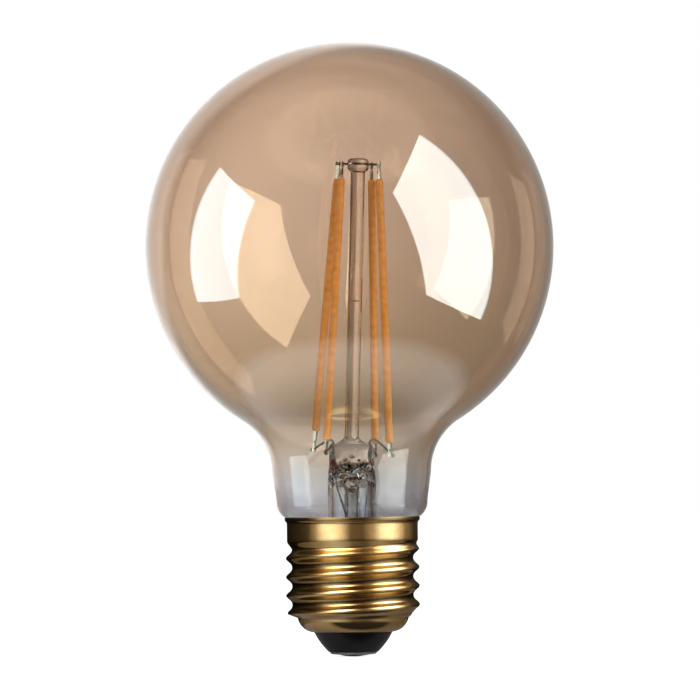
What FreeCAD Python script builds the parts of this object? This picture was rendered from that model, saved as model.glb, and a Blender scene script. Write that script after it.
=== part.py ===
"""LED filament globe lamp with an E27 screw cap, in millimetres.

The axis of the lamp is Z. The origin is the tip of the centre contact, and the
globe is at the top. The front of the lamp looks towards -Y.
"""
import FreeCAD, Part
import Sketcher
import math
import os

Vector = FreeCAD.Vector
doc = FreeCAD.newDocument("globe_lamp")

# Driving dimensions, all in millimetres or degrees
DRIVING = {
    "globe_diameter": 80.0,
    "glass_wall": 0.7,
    "neck_diameter": 31.0,        # where the shoulder curve ends
    "shoulder_radius": 12.0,      # hollow curve between globe and neck
    "neck_waist_diameter": 29.4,  # just above the cap
    "neck_waist_level": 30.3,
    "neck_length": 5.57,          # from just above the cap to the shoulder curve
    "neck_curl_radius": 3.0,      # the neck rolls in above the rim
    "neck_end_diameter": 22.4,    # sealed end inside the cap
    "cap_height": 27.0,
    "thread_diameter": 26.1,
    "thread_root_diameter": 24.0,
    "thread_pitch": 3.629,        # seven turns to the inch
    "thread_bottom": 8.0,
    "thread_top": 22.6,
    "thread_phase": 154.0,        # where the crest starts
    "shell_wall": 0.25,
    "skirt_diameter": 25.6,
    "rim_diameter": 26.4,
    "rim_height": 0.7,
    "rim_gap": 0.15,              # between the neck and the rim
    "bowl_radius": 3.4,
    "bowl_edge_diameter": 22.2,   # where the bowl meets the thread
    "shell_mouth_diameter": 15.8, # lower hole of the shell
    "shell_mouth_level": 4.8,
    "insulator_tip_diameter": 10.0,
    "insulator_top": 6.6,
    "insulator_bore": 3.4,
    "contact_level": 0.9,         # lower face of the insulator
    "contact_diameter": 9.4,
    "contact_thickness": 0.4,
    "eyelet_bore": 2.2,
    "solder_diameter": 7.4,
    "seal_level": 19.0,           # glass seal between neck and stem
    "flare_tube_diameter": 9.5,
    "flare_wall": 1.0,
    "flare_radius": 5.6,
    "press_bottom": 34.4,
    "press_top": 41.6,
    "press_width": 8.8,
    "press_depth": 3.8,
    "press_round": 0.9,
    "exhaust_diameter": 3.0,
    "exhaust_wall": 0.6,
    "exhaust_tip": 15.8,
    "post_diameter": 2.8,
    "button_diameter": 4.3,
    "button_bottom": 95.1,
    "button_height": 2.4,
    "top_wire_length": 8.9,
    "top_wire_level": 96.45,
    "stem_lean": 1.86,            # the button stands so far to the right of the axis
    "wire_diameter": 0.45,
    "wire_bend": 0.8,
    "filament_diameter": 1.6,
    "filament_length": 52.0,
    "filament_spread": 8.7,       # radius of the lower ends
    "filament_phase": 57.1,       # the lower ends stand on a square turned so far
    "tab_width": 0.9,
    "tab_thickness": 0.3,
    "top_tab_length": 3.4,
    "lower_tab_length": 2.9,
    "coat_trim": 2.6,             # the coat of the outer left filament ends sooner
    "long_tab_extra": 1.6,        # and its lower tab is longer
    "lead_spacing": 7.0,          # main leads in the press
    "lead_spacing_low": 4.8,      # main leads beside the exhaust tube
    "lead_spread_level": 27.0,    # where they start to spread
    "left_lead_swing": 1.6,       # the foot of the left lead stands nearer the axis
    "left_lead_front": 2.2,       # and in front of the exhaust tube
    "lead_rise": 0.9,             # bare lead above the press before it bends
    "lead_reach": 1.2,            # first bend of a lead beside the press
    "branch_weld_depth": 3.0,     # below the top of the press
    "filament_end_level": 42.6,
    "weld_sink": 0.06,            # a weld joins wire and tab this deep
    "lead_wire_diameter": 0.45,
    "board_diameter": 19.6,
    "board_thickness": 1.0,
    "board_level": 12.4,
    "cement_bottom": 20.6,
    "cement_top": 26.5,
    "rectifier_length": 4.7, "rectifier_width": 3.9, "rectifier_height": 2.4,
    "chip_length": 4.9, "chip_width": 3.9, "chip_height": 1.5,
    "capacitor_diameter": 5.0, "capacitor_length": 9.0,
    "choke_diameter": 5.0, "choke_height": 4.8, "choke_waist": 3.6,
    "resistor_diameter": 2.4, "resistor_length": 4.0,
    "hookup_diameter": 0.5,
    "board_part_offset": 5.6,     # components from the axis of the board
}
sheet = doc.addObject("Spreadsheet::Sheet", "sizes")
for row, (word, number) in enumerate(DRIVING.items(), 1):
    sheet.set("A%d" % row, word)
    sheet.set("B%d" % row, str(number))
    sheet.setAlias("B%d" % row, word)
doc.recompute()


# A size carries its number and the formula that gives it in the document
class Size:
    def __init__(self, number, formula):
        self.number, self.formula = float(number), formula

    def __add__(self, other):
        other = size(other)
        return Size(self.number + other.number, "(%s + %s)" % (self.formula, other.formula))

    def __sub__(self, other):
        other = size(other)
        return Size(self.number - other.number, "(%s - %s)" % (self.formula, other.formula))

    def __mul__(self, other):
        other = size(other)
        return Size(self.number * other.number, "(%s * %s)" % (self.formula, other.formula))

    def __truediv__(self, other):
        other = size(other)
        return Size(self.number / other.number, "(%s / %s)" % (self.formula, other.formula))

    def __neg__(self):
        return Size(-self.number, "(-1 * %s)" % self.formula)

    def root(self):
        return Size(math.sqrt(self.number), "sqrt(%s)" % self.formula)

    __radd__ = __add__
    __rmul__ = __mul__


def size(value):
    return value if isinstance(value, Size) else Size(value, repr(float(value)))


def given(word):
    return Size(sheet.get(word), "sizes." + word)


def bind(thing, **properties):
    for name, value in properties.items():
        thing.setExpression(name, size(value).formula)


def origin_plane(body, role):
    return next(f for f in body.Origin.OriginFeatures if f.Role == role)


def draw_outline(sketch, corners):
    """Closed outline. A corner is (across, up) or (across, up, radius of the arc that
    leads to it); a negative radius bends the arc to the right of its way."""
    count = len(corners)
    places = [Vector(size(c[0]).number, size(c[1]).number, 0) for c in corners]
    ends = []
    for i in range(count):
        start, end, corner = places[i], places[(i + 1) % count], corners[(i + 1) % count]
        if len(corner) == 3:
            bend = size(corner[2]).number
            chord = end - start
            depth = math.sqrt(max(0, bend * bend - chord.Length ** 2 / 4))
            side = Vector(-chord.y, chord.x, 0).normalize() * math.copysign(depth, bend)
            centre = (start + end) / 2 + side
            turns = [math.atan2(p.y - centre.y, p.x - centre.x) for p in (start, end)]
            first, last = turns if bend > 0 else turns[::-1]
            circle = Part.Circle(centre, Vector(0, 0, 1), abs(bend))
            sketch.addGeometry(Part.ArcOfCircle(circle, first, last + (last < first) * 2 * math.pi))
            ends.append((1, 2) if bend > 0 else (2, 1))
        else:
            sketch.addGeometry(Part.LineSegment(start, end))
            ends.append((1, 2))
    for i in range(count):
        after = (i + 1) % count
        sketch.addConstraint(Sketcher.Constraint("Coincident", i, ends[i][1], after, ends[after][0]))
        place_corner(sketch, i, ends[i][0], corners[i])
        if len(corners[after]) == 3:
            bend = size(corners[after][2])
            number = sketch.addConstraint(Sketcher.Constraint("Radius", i, abs(bend.number)))
            sketch.renameConstraint(number, "arc_%d" % i)
            formula = bend.formula if bend.number > 0 else (-bend).formula
            sketch.setExpression("Constraints.arc_%d" % i, formula)


def place_corner(sketch, edge, end, corner):
    for kind, axis, value in (("DistanceX", -2, size(corner[0])), ("DistanceY", -1, size(corner[1]))):
        if value.number == 0:
            sketch.addConstraint(Sketcher.Constraint("PointOnObject", edge, end, axis))
            continue
        number = sketch.addConstraint(Sketcher.Constraint(kind, -1, 1, edge, end, value.number))
        label = "%s_%d" % (kind[-1].lower(), edge)
        sketch.renameConstraint(number, label)
        sketch.setExpression("Constraints." + label, value.formula)


def new_body(name):
    body = doc.addObject("PartDesign::Body", name)
    body.Label = name
    return body


def turn_outline(body, corners, name="outline", feature="PartDesign::Revolution"):
    """Turns an outline in the XZ plane about the lamp's axis."""
    sketch = body.newObject("Sketcher::SketchObject", name)
    sketch.AttachmentSupport = [(origin_plane(body, "XZ_Plane"), "")]
    sketch.MapMode = "FlatFace"
    draw_outline(sketch, corners)
    turned = body.newObject(feature, name + "_turned")
    turned.Profile = sketch
    turned.ReferenceAxis = (sketch, ["V_Axis"])
    turned.Angle = 360
    doc.recompute()
    return turned


# Levels and radii that several pieces share
globe_r = given("globe_diameter") / 2
wall = given("glass_wall")
neck_r = given("neck_diameter") / 2
shoulder_r = given("shoulder_radius")
waist_r = given("neck_waist_diameter") / 2
waist_z = given("neck_waist_level")
curl_r = given("neck_curl_radius")
neck_end_r = given("neck_end_diameter") / 2
seal_z = given("seal_level")
cap_top = given("cap_height")
rim_r = given("rim_diameter") / 2
rim_h = given("rim_height")
shell_wall = given("shell_wall")
skirt_r = given("skirt_diameter") / 2
thread_r = given("thread_diameter") / 2
thread_root_r = given("thread_root_diameter") / 2
thread_low = given("thread_bottom")
thread_high = given("thread_top")
bowl_edge_r = given("bowl_edge_diameter") / 2
bowl_bend = given("bowl_radius")
mouth_r = given("shell_mouth_diameter") / 2
mouth_z = given("shell_mouth_level")

# Glass globe
# One blown wall: ball, hollow shoulder, slightly tapered neck, and the end that rolls
# in under the rim of the cap. The inner outline keeps the wall's thickness.
shoulder_rise = ((globe_r + shoulder_r) * (globe_r + shoulder_r)
                 - (neck_r + shoulder_r) * (neck_r + shoulder_r)).root()
shoulder_mid = waist_z + given("neck_length")
globe_mid = shoulder_mid + shoulder_rise
overall = globe_mid + globe_r
share = globe_r / (globe_r + shoulder_r)
tangent_r = (neck_r + shoulder_r) * share
tangent_z = globe_mid - shoulder_rise * share
share_in = (globe_r - wall) / (globe_r + shoulder_r)
tangent_in_r = (neck_r + shoulder_r) * share_in
tangent_in_z = globe_mid - shoulder_rise * share_in
rolled_r = rim_r - shell_wall - given("rim_gap")
rolled_z = cap_top
collar_r = rolled_r - wall
collar_z = cap_top - wall

globe_outer = [
    (neck_end_r, seal_z),
    (collar_r, collar_z),
    (rolled_r, rolled_z),
    (waist_r, waist_z, curl_r * 1.2),
    (neck_r, shoulder_mid),
    (tangent_r, tangent_z, -shoulder_r),
    (0, overall, globe_r),
]
globe_inner = [
    (0, overall - wall),
    (tangent_in_r, tangent_in_z, -(globe_r - wall)),
    (neck_r - wall, shoulder_mid, shoulder_r + wall),
    (waist_r - wall, waist_z),
    (rolled_r - wall, rolled_z + wall / 4, -curl_r),
    (collar_r - wall, collar_z),
    (neck_end_r - wall, seal_z),
]
glass_globe = new_body("glass_globe")
turn_outline(glass_globe, globe_outer + globe_inner)

# Full inside of the glass, used to trim the cement to the neck
glass_outside = new_body("glass_outside")
turn_outline(glass_outside, globe_outer + [(0, seal_z)])


# Screw shell
# Drawn from thin brass. The thread is a round section whose middle circles the axis as
# it climbs, so crest and root stand opposite each other; it fades into the bowl and skirt.
crest_mid_r = (thread_r + thread_root_r) / 2
crest_swing = (thread_r - thread_root_r) / 2
pitch = given("thread_pitch")
phase = given("thread_phase")
SECTIONS_PER_TURN = 8
FADE_TURNS = 0.5
turns = (thread_high - thread_low) / pitch
steps = int(round(turns.number * SECTIONS_PER_TURN))
sections = []
for i in range(steps + 1):
    run = i / steps
    fade_in = min(1.0, run * turns.number / FADE_TURNS)
    fade_out = min(1.0, (1 - run) * turns.number / FADE_TURNS)
    ring = doc.addObject("Part::Circle", "thread_section_%d" % i)
    middle = crest_mid_r * min(fade_in, fade_out)
    ends = bowl_edge_r * (1 - fade_in) + skirt_r * (1 - fade_out)
    swing = crest_swing * min(fade_in, fade_out)
    lead_angle = phase + turns * 360 * run
    bind(ring, Radius=middle + ends)
    for axis, turn in (("x", "cos"), ("y", "sin")):
        ring.setExpression(".Placement.Base." + axis,
                           "%s * %s(%s)" % (swing.formula, turn, lead_angle.formula))
    bind(ring, **{".Placement.Base.z": thread_low + (thread_high - thread_low) * run})
    sections.append(ring)
thread_solid = doc.addObject("Part::Loft", "thread_solid")
thread_solid.Sections = sections
thread_solid.Solid = True
thread_solid.Ruled = True

bowl_top_r = bowl_edge_r * 0.965
bowl_top_z = thread_low - (thread_low - mouth_z) / 4
bowl_solid = new_body("bowl_solid")
turn_outline(bowl_solid, [
    (0, mouth_z), (mouth_r, mouth_z), (bowl_top_r, bowl_top_z, bowl_bend),
    (bowl_edge_r, thread_low), (0, thread_low)])
skirt_solid = new_body("skirt_solid")
turn_outline(skirt_solid, [
    (0, thread_high), (skirt_r, thread_high), (skirt_r, cap_top - rim_h * 1.4),
    (rim_r, cap_top - rim_h), (rim_r, cap_top), (0, cap_top)])
shell_solid = doc.addObject("Part::MultiFuse", "shell_solid")
shell_solid.Shapes = [bowl_solid, thread_solid, skirt_solid]

bore_r = thread_root_r - shell_wall
skirt_bore_r = skirt_r - shell_wall
rim_bore_r = rim_r - shell_wall
shell_cavity = new_body("shell_cavity")
turn_outline(shell_cavity, [
    (0, mouth_z), (mouth_r - shell_wall, mouth_z),
    (mouth_r - shell_wall, mouth_z + shell_wall),
    (bowl_top_r - shell_wall, bowl_top_z, bowl_bend - shell_wall),
    (bowl_edge_r - shell_wall, thread_low), (bore_r, thread_low + pitch / 2),
    (bore_r, thread_high - pitch / 4), (skirt_bore_r, thread_high + pitch / 4),
    (skirt_bore_r, cap_top - rim_h * 1.4), (rim_bore_r, cap_top - rim_h), (rim_bore_r, cap_top),
    (0, cap_top)])
screw_shell = doc.addObject("Part::Cut", "screw_shell")
screw_shell.Label = "screw_shell"
screw_shell.Base = shell_solid
screw_shell.Tool = shell_cavity

# Insulator
# Dark glass is moulded into the mouth of the shell: a cone below, a filling above that
# takes the shell's own inside as its outline.
insulator_tip_r = given("insulator_tip_diameter") / 2
insulator_top = given("insulator_top")
eyelet_hole_r = given("insulator_bore") / 2
contact_z = given("contact_level")
cone = new_body("insulator_cone")
turn_outline(cone, [
    (0, contact_z), (insulator_tip_r, contact_z), (mouth_r - shell_wall, mouth_z),
    (mouth_r - shell_wall, mouth_z + shell_wall), (0, mouth_z + shell_wall)])
filling_blank = doc.addObject("Part::Cylinder", "filling_blank")
bind(filling_blank, Radius=thread_r, Height=insulator_top - mouth_z)
bind(filling_blank, **{".Placement.Base.z": mouth_z})
filling = doc.addObject("Part::MultiCommon", "insulator_filling")
filling.Shapes = [filling_blank, shell_cavity]
insulator_solid = doc.addObject("Part::MultiFuse", "insulator_solid")
insulator_solid.Shapes = [cone, filling]
eyelet_hole = doc.addObject("Part::Cylinder", "eyelet_hole")
bind(eyelet_hole, Radius=eyelet_hole_r, Height=insulator_top)
insulator = doc.addObject("Part::Cut", "insulator")
insulator.Label = "insulator"
insulator.Base = insulator_solid
insulator.Tool = eyelet_hole

# Centre contact and its solder
# A plate lies under the dark glass and its eyelet lines the bore. The dome of solder
# below it reaches up the eyelet round the live wire.
contact_r = given("contact_diameter") / 2
contact_t = given("contact_thickness")
eyelet_r = given("eyelet_bore") / 2
solder_r = given("solder_diameter") / 2
eyelet_top = insulator_top + contact_t
centre_contact = new_body("centre_contact")
turn_outline(centre_contact, [
    (eyelet_r, contact_z - contact_t), (contact_r - contact_t, contact_z - contact_t),
    (contact_r, contact_z, contact_t), (eyelet_hole_r, contact_z),
    (eyelet_hole_r, eyelet_top), (eyelet_r, eyelet_top)])
dome_z = contact_z - contact_t
dome_bend = (solder_r * solder_r + dome_z * dome_z) / (dome_z * 2)
solder_solid = new_body("solder_solid")
turn_outline(solder_solid, [
    (0, 0), (solder_r, dome_z, dome_bend), (eyelet_r, dome_z),
    (eyelet_r, insulator_top), (0, insulator_top)])

# Glass stem
# Flare, flat press, post and button are one piece of clear glass. The flare is hollow
# and the sealed exhaust tube hangs in it.
tube_r = given("flare_tube_diameter") / 2
flare_wall = given("flare_wall")
tube_in_r = tube_r - flare_wall
flare_bend = given("flare_radius")
press_low = given("press_bottom")
press_top = given("press_top")
exhaust_r = given("exhaust_diameter") / 2
exhaust_in_r = exhaust_r - given("exhaust_wall")
exhaust_tip = given("exhaust_tip")
post_r = given("post_diameter") / 2
button_r = given("button_diameter") / 2
button_z = given("button_bottom")
button_h = given("button_height")
press_round = given("press_round")
press_w = given("press_width")
press_d = given("press_depth")
web = press_low - flare_wall * 1.2
flare_z = seal_z + flare_bend
stem_solid = new_body("stem_solid")
turn_outline(stem_solid, [
    (0, exhaust_tip), (exhaust_r, exhaust_tip + exhaust_r, exhaust_r),
    (exhaust_r, web), (tube_in_r, web), (tube_in_r, flare_z),
    (tube_r + flare_bend, seal_z - flare_wall, flare_bend + flare_wall),
    (neck_end_r, seal_z - flare_wall), (neck_end_r, seal_z), (tube_r + flare_bend, seal_z),
    (tube_r, flare_z, -flare_bend), (tube_r, press_low - press_round),
    (tube_r - press_round, press_low, press_round), (0, press_low), (0, web),
    (exhaust_in_r, web), (exhaust_in_r, exhaust_tip + exhaust_r), (0, exhaust_tip + exhaust_r)])

press_block = doc.addObject("Part::Box", "press_block")
bind(press_block, Length=press_w, Width=press_d, Height=press_top - press_low + press_round)
bind(press_block, **{".Placement.Base.x": -press_w / 2, ".Placement.Base.y": -press_d / 2,
                     ".Placement.Base.z": press_low - press_round})
doc.recompute()
press = doc.addObject("Part::Fillet", "press")
press.Base = press_block
press.Edges = [(i + 1, press_round.number, press_round.number)
               for i, edge in enumerate(press_block.Shape.Edges)
               if edge.BoundBox.ZMax > press_low.number + 1]
post_root = press_d / 2 * 0.95
root_bend = (post_root - post_r) * 3
button_round = button_h / 4
post = new_body("post")
turn_outline(post, [
    (0, press_top - press_round), (post_root, press_top - press_round),
    (post_root, press_top - press_round / 2), (post_r, press_top + root_bend * 1.4, -root_bend * 1.6),
    (post_r, button_z), (button_r - button_round, button_z),
    (button_r, button_z + button_round, button_round),
    (button_r, button_z + button_h - button_round),
    (button_r - button_round, button_z + button_h, button_round), (0, button_z + button_h)])
top_wire_z = given("top_wire_level")
pivot = Vector(0, 0, press_top.number)
lean = FreeCAD.Rotation(Vector(0, 1, 0), math.degrees(math.atan2(
    given("stem_lean").number, (top_wire_z - press_top).number)))
post.Placement = FreeCAD.Placement(Vector(0, 0, 0), lean, pivot)
stem_blank = doc.addObject("Part::MultiFuse", "stem_blank")
stem_blank.Shapes = [stem_solid, press, post]


# Bent wires
# Round wire laid through its corner points, each corner rounded to a small bend.
def bent_wire(name, corners, diameter, bend=given("wire_bend")):
    bend = bend.number
    points = [Vector(*(size(c).number for c in corner)) for corner in corners]
    path, start = [], points[0]
    for before, corner, after in zip(points, points[1:], points[2:]):
        back, ahead = before - corner, after - corner
        reach = min(bend, back.Length * 0.45, ahead.Length * 0.45)
        first = corner + back.normalize() * reach
        last = corner + ahead.normalize() * reach
        half = (first + last) / 2 - corner
        slope = half.Length / reach
        radius = reach * math.sqrt(1 - slope * slope) / slope
        centre = corner + half.normalize() * math.hypot(reach, radius)
        middle = centre + (corner - centre).normalize() * radius
        path += [Part.LineSegment(start, first).toShape(), Part.Arc(first, middle, last).toShape()]
        start = last
    path.append(Part.LineSegment(start, points[-1]).toShape())
    heading = points[1] - points[0]
    ring = Part.Wire([Part.Circle(points[0], heading, size(diameter).number / 2).toShape()])
    wire = doc.addObject("Part::Feature", name)
    wire.Label = name
    wire.Shape = Part.Wire(path).makePipeShell([ring], True, True)
    return wire


def cut_from(name, base, tools):
    """The base less the pieces that are sunk in it."""
    if len(tools) == 1:
        tool = tools[0]
    else:
        tool = doc.addObject("Part::MultiFuse", name + "_tools")
        tool.Shapes = tools
    cut = doc.addObject("Part::Cut", name)
    cut.Label = name
    cut.Base, cut.Tool = base, tool
    return cut


# Filaments and their tabs
# Each coated bar hangs between the cross wire on the button and one lead. The lower
# ends stand on a square round the post, the upper ends come together at the wire.
wire_d = given("wire_diameter")
lead_d = given("lead_wire_diameter")
tab_w = given("tab_width")
tab_t = given("tab_thickness")
top_tab_l = given("top_tab_length")
low_tab_l = given("lower_tab_length")
coat_d = given("filament_diameter")
top_wire_l = given("top_wire_length")
spread = given("filament_spread")
end_z = given("filament_end_level")
weld_sink = given("weld_sink")


def leaned(x, y, z):
    """A point of the upright stem, moved with the lean of its post."""
    return pivot + lean.multVec(Vector(*(size(c).number for c in (x, y, z))) - pivot)


top_wire = bent_wire("top_support_wire", [leaned(-top_wire_l / 2, 0, top_wire_z),
                                          leaned(top_wire_l / 2, 0, top_wire_z)], wire_d)

FILAMENTS = {                     # quarter of the square, place on the wire, trimmed, side of lead
    "inner_right": (0, 0.59, 0.0, 1),
    "outer_left": (1, -0.86, 1.0, -1),
    "inner_left": (2, -0.70, 0.0, 1),
    "outer_right": (3, 0.91, 0.0, 1),
}
weld_points = {}
coats, tabs = [], []
for side, (quarter, reach, trimmed, lead_side) in FILAMENTS.items():
    angle = math.radians(given("filament_phase").number + 90 * quarter)
    outward = Vector(math.cos(angle), math.sin(angle), 0)
    around = Vector(-math.sin(angle), math.cos(angle), 0)
    beside = ((wire_d + tab_t) / 2 + tab_t / 3).number
    upper = leaned(top_wire_l / 2 * reach, math.copysign(beside, outward.y), top_wire_z)
    lower = outward * spread.number + Vector(0, 0, end_z.number)
    down = (lower - upper).normalize()
    low_l = low_tab_l + given("long_tab_extra") * trimmed
    coat_l = given("filament_length") - given("coat_trim") * trimmed
    coat_top = upper + down * (top_tab_l - wire_d).number
    coat_end = coat_top + down * coat_l.number
    bar = doc.addObject("Part::Cylinder", "bar_" + side)
    bind(bar, Radius=coat_d / 2, Height=coat_l)
    bar.Placement = FreeCAD.Placement(coat_top, FreeCAD.Rotation(Vector(0, 0, 1), down))
    coat = doc.addObject("Part::Fillet", "filament_" + side)
    coat.Label = "filament_" + side
    coat.Base = bar
    doc.recompute()
    coat_round = (coat_d / 5).number
    coat.Edges = [(i + 1, coat_round, coat_round) for i, edge in enumerate(bar.Shape.Edges)
                  if edge.isClosed()]
    coats.append(coat)
    flat = FreeCAD.Rotation(outward, around, down, "ZYX")
    for end, place, length in (("top", coat_top - down * top_tab_l.number, top_tab_l),
                               ("lower", coat_end, low_l)):
        blank = doc.addObject("Part::Box", "%s_blank_%s" % (end, side))
        bind(blank, Length=tab_w, Width=tab_t, Height=length)
        corner = flat.multVec(Vector(-tab_w.number / 2, -tab_t.number / 2, 0))
        blank.Placement = FreeCAD.Placement(place + corner, flat)
        tabs.append((end, side, blank))
    across = flat.multVec(Vector(0, 1, 0))
    weld = coat_end + down * (low_l - lead_d).number
    weld_points[side] = (weld + outward * lead_d.number
                         + across * lead_side * ((tab_t + lead_d) / 2 - weld_sink).number)

# Lead wires
# On each side one main lead climbs from the board through the press to an outer
# filament, and a branch welded to it inside the press feeds the inner filament.
board_z = given("board_level")
board_t = given("board_thickness")
board_top = board_z + board_t
lead_x = given("lead_spacing") / 2
lead_low_x = given("lead_spacing_low") / 2
lead_d_gap = lead_d * 1.6
left_end, right_end = weld_points["outer_left"], weld_points["outer_right"]
spread_z = given("lead_spread_level")
rise = given("lead_rise")
reach_x = given("lead_reach")
held_z = web + flare_wall * 2.4
foot_x = given("left_lead_swing") - lead_low_x
foot_y = -given("left_lead_front")
left_lead = bent_wire("left_lead_wire", [
    (foot_x, foot_y, board_top), (foot_x, foot_y, spread_z), (-lead_x, 0, held_z),
    (-lead_x, 0, press_top + rise), (-lead_x - reach_x, rise, press_top + rise),
    tuple(left_end)], lead_d)
right_lead = bent_wire("right_lead_wire", [
    (lead_low_x, 0, board_top), (lead_low_x, 0, spread_z), (lead_x, 0, held_z),
    (lead_x, 0, press_top + rise), (lead_x + reach_x, -rise, press_top + rise),
    tuple(right_end)], lead_d)
branch_low = press_top - given("branch_weld_depth")
left_branch = cut_from("left_branch_wire", bent_wire("left_branch_blank", [
    (-lead_x, -lead_d / 6, branch_low - lead_d), (-lead_x, -lead_d_gap, branch_low),
    (-lead_x, -lead_d_gap, press_top + rise / 2), tuple(weld_points["inner_left"])], lead_d), [left_lead])
right_branch = cut_from("right_branch_wire", bent_wire("right_branch_blank", [
    (lead_x, lead_d / 6, branch_low - lead_d), (lead_x, lead_d_gap, branch_low),
    (lead_x, lead_d_gap, press_top + rise / 2), tuple(weld_points["inner_right"])], lead_d), [right_lead])
feeds = {"outer_left": left_lead, "inner_left": left_branch,
         "outer_right": right_lead, "inner_right": right_branch}
finished_tabs = []
for end, side, blank in tabs:
    holder = top_wire if end == "top" else feeds[side]
    finished_tabs.append(cut_from("%s_tab_%s" % (end, side), blank, [holder]))
glass_stem = cut_from("glass_stem", stem_blank,
                      [top_wire, left_lead, right_lead, left_branch, right_branch])

# Driver
# A round board under the exhaust tip carries the parts. The leads stand on its upper
# face; the live wire comes up the eyelet through the fuse resistor.
offset = given("board_part_offset")
board = doc.addObject("Part::Cylinder", "driver_board")
board.Label = "driver_board"
bind(board, Radius=given("board_diameter") / 2, Height=board_t)
bind(board, **{".Placement.Base.z": board_z})


def chip(name, length, width, height, across, level):
    box = doc.addObject("Part::Box", name)
    box.Label = name
    bind(box, Length=length, Width=width, Height=height)
    bind(box, **{".Placement.Base.x": -length / 2, ".Placement.Base.y": across - width / 2,
                 ".Placement.Base.z": level})
    return box


rectifier = chip("bridge_rectifier", given("rectifier_length"), given("rectifier_width"),
                 given("rectifier_height"), offset, board_top)
driver_chip = chip("driver_chip", given("chip_length"), given("chip_width"),
                   given("chip_height"), -offset, board_top)
capacitor = doc.addObject("Part::Cylinder", "capacitor")
capacitor.Label = "capacitor"
can_r = given("capacitor_diameter") / 2
can_l = given("capacitor_length")
bind(capacitor, Radius=can_r, Height=can_l)
capacitor.Placement = FreeCAD.Placement(
    Vector(-can_l.number / 2, offset.number * 0.8, (board_z - can_r).number),
    FreeCAD.Rotation(Vector(0, 0, 1), Vector(1, 0, 0)))
choke_r = given("choke_diameter") / 2
choke_waist_r = given("choke_waist") / 2
choke_h = given("choke_height")
choke = new_body("choke")
turn_outline(choke, [
    (0, board_z - choke_h), (choke_r, board_z - choke_h), (choke_r, board_z - choke_h * 0.8),
    (choke_waist_r, board_z - choke_h * 0.8), (choke_waist_r, board_z - choke_h * 0.2),
    (choke_r, board_z - choke_h * 0.2), (choke_r, board_z), (0, board_z)])
choke.Placement.Base = Vector(-offset.number * 0.9, -offset.number * 0.6, 0)
resistor_r = given("resistor_diameter") / 2
resistor_l = given("resistor_length")
resistor = doc.addObject("Part::Cylinder", "fuse_resistor")
resistor.Label = "fuse_resistor"
bind(resistor, Radius=resistor_r, Height=resistor_l)
bind(resistor, **{".Placement.Base.x": offset * 0.8, ".Placement.Base.y": -offset * 0.6,
                  ".Placement.Base.z": board_z - resistor_l})
hookup_d = given("hookup_diameter")
live_turn = eyelet_top + hookup_d
live_wire = bent_wire("live_wire", [
    (0, 0, contact_z), (0, 0, live_turn), (offset * 0.8, -offset * 0.6, live_turn),
    (offset * 0.8, -offset * 0.6, board_z - resistor_l)], hookup_d, hookup_d)
contact_solder = cut_from("contact_solder", solder_solid, [live_wire])
neutral_x = given("board_diameter") / 2 - hookup_d * 1.6
neutral_blank = bent_wire("neutral_blank", [
    (neutral_x, 0, board_top), (neutral_x, 0, board_top + hookup_d * 4),
    (thread_r, 0, board_top + hookup_d * 5)], hookup_d, hookup_d)
neutral_wire = doc.addObject("Part::MultiCommon", "neutral_wire")
neutral_wire.Label = "neutral_wire"
neutral_wire.Shapes = [neutral_blank, shell_cavity]

# Capping cement
# A ring that fills the gap between the neck and the inside of the shell.
cement_low = given("cement_bottom")
cement_top = given("cement_top")
cement_blank = doc.addObject("Part::Cylinder", "cement_blank")
bind(cement_blank, Radius=rim_r, Height=cement_top - cement_low)
bind(cement_blank, **{".Placement.Base.z": cement_low})
cement_disc = doc.addObject("Part::MultiCommon", "cement_disc")
cement_disc.Shapes = [cement_blank, shell_cavity]
capping_cement = cut_from("capping_cement", cement_disc, [glass_outside])

# Checks and files
PIECES = [glass_globe, glass_stem, top_wire, left_lead, right_lead, left_branch, right_branch,
          *coats, *finished_tabs, screw_shell, insulator, centre_contact, contact_solder,
          capping_cement, board, rectifier, driver_chip, capacitor, choke, resistor,
          live_wire, neutral_wire]
doc.recompute()
for thing in doc.Objects:
    if "Invalid" in thing.State or "Error" in thing.State:
        raise RuntimeError("%s was not built: %s" % (thing.Label, thing.State))
for piece in PIECES:
    if piece.Shape.isNull() or not piece.Shape.isValid() or len(piece.Shape.Solids) != 1:
        raise RuntimeError("%s is not one valid solid" % piece.Label)
os.makedirs("parts", exist_ok=True)
for piece in PIECES:
    piece.Shape.exportStep("parts/%s.step" % piece.Label)
    print("%-26s %9.2f mm3" % (piece.Label, piece.Shape.Volume))
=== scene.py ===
import math

import bpy
from mathutils import Matrix, Vector, noise


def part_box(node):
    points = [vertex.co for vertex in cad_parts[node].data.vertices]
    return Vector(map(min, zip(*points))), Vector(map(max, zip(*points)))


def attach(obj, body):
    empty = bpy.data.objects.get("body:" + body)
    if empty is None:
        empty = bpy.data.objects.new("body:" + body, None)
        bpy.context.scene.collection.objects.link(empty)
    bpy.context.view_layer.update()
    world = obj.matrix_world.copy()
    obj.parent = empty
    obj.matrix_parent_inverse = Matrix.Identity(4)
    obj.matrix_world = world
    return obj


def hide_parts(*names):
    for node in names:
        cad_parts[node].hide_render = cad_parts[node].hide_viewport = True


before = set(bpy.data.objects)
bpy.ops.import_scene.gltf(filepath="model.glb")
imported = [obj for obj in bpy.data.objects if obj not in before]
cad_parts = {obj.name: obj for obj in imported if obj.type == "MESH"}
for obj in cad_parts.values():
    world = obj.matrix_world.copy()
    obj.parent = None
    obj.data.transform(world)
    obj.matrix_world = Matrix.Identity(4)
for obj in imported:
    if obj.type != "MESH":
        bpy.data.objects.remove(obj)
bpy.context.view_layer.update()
MM = 0.001

# Glass globe.
# One blown wall of soft glass, coated inside with an amber film that thins out towards
# the neck. Its lower end rolls in above the rim and runs into the cap, held by cement.


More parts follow.
